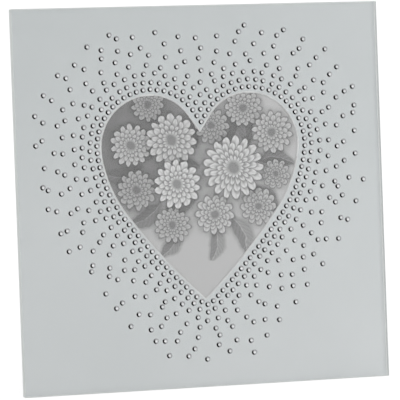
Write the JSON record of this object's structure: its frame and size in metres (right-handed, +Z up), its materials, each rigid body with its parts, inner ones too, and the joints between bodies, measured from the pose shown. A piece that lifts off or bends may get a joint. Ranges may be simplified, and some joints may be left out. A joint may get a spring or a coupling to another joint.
{
  "type": "heart shaped photo frame",
  "caption": "Square glass photo frame with a heart shaped window ringed by scattered crystals, standing on a hinged strut.",
  "frame": {"origin": "middle of the footprint on the table, under the panel and its open strut", "axes": "+X to the viewer's right, +Y from the glass face to the back, +Z up from the table"},
  "size_m": [0.18, 0.0484, 0.1789],
  "materials": {
    "clear_glass": "clear float glass with ground arrises",
    "silver_film": "pale silver film seen through the glass",
    "crystal": "foil-backed cut stones",
    "foam_tape": "white foam tape",
    "flocked_board": "black flock over board",
    "picture_print": "smooth grey-scale print",
    "white_card": "plain card",
    "plated_steel": "bright nickel-plated sheet steel"
  },
  "bodies": {
    "panel": {"front_glass": "clear_glass", "silver_film": "silver_film", "crystal_row_1": "crystal", "crystal_row_2": "crystal", "crystal_row_3": "crystal", "crystal_row_4": "crystal", "crystal_row_5": "crystal", "crystal_row_6": "crystal", "crystal_row_7": "crystal", "crystal_row_8": "crystal", "tape_top": "foam_tape", "tape_bottom": "foam_tape", "tape_left": "foam_tape", "tape_right": "foam_tape", "back_surround": "flocked_board", "picture_print": "picture_print", "pressure_card": "white_card", "back_door": "flocked_board", "turn_button_screws": "plated_steel", "hinge_bracket": "plated_steel", "hinge_rivets": "plated_steel", "hinge_pin": "plated_steel"},
    "strut": {"strut_shoe": "plated_steel", "strut_rivets": "plated_steel", "strut_leg": "flocked_board"},
    "turn_button_upper_left": {"turn_button_upper_left": "plated_steel"},
    "turn_button_upper_right": {"turn_button_upper_right": "plated_steel"},
    "turn_button_lower_left": {"turn_button_lower_left": "plated_steel"},
    "turn_button_lower_right": {"turn_button_lower_right": "plated_steel"}
  },
  "joints": [
    {"name": "strut_hinge", "type": "hinge", "parent": "panel", "child": "strut", "pos_m": [0, 0.0054, 0.12265], "axis": [1, 0, 0], "range_deg": [-15.5, 0]},
    {"name": "turn_button_upper_left_pivot", "type": "hinge", "parent": "panel", "child": "turn_button_upper_left", "pos_m": [-0.057, 0.00137, 0.11814], "axis": [0, 0.9914, -0.1305], "continuous": true},
    {"name": "turn_button_upper_right_pivot", "type": "hinge", "parent": "panel", "child": "turn_button_upper_right", "pos_m": [0.057, 0.00137, 0.11814], "axis": [0, 0.9914, -0.1305], "continuous": true},
    {"name": "turn_button_lower_left_pivot", "type": "hinge", "parent": "panel", "child": "turn_button_lower_left", "pos_m": [-0.057, -0.00646, 0.05865], "axis": [0, 0.9914, -0.1305], "continuous": true},
    {"name": "turn_button_lower_right_pivot", "type": "hinge", "parent": "panel", "child": "turn_button_lower_right", "pos_m": [0.057, -0.00646, 0.05865], "axis": [0, 0.9914, -0.1305], "continuous": true}
  ]
}
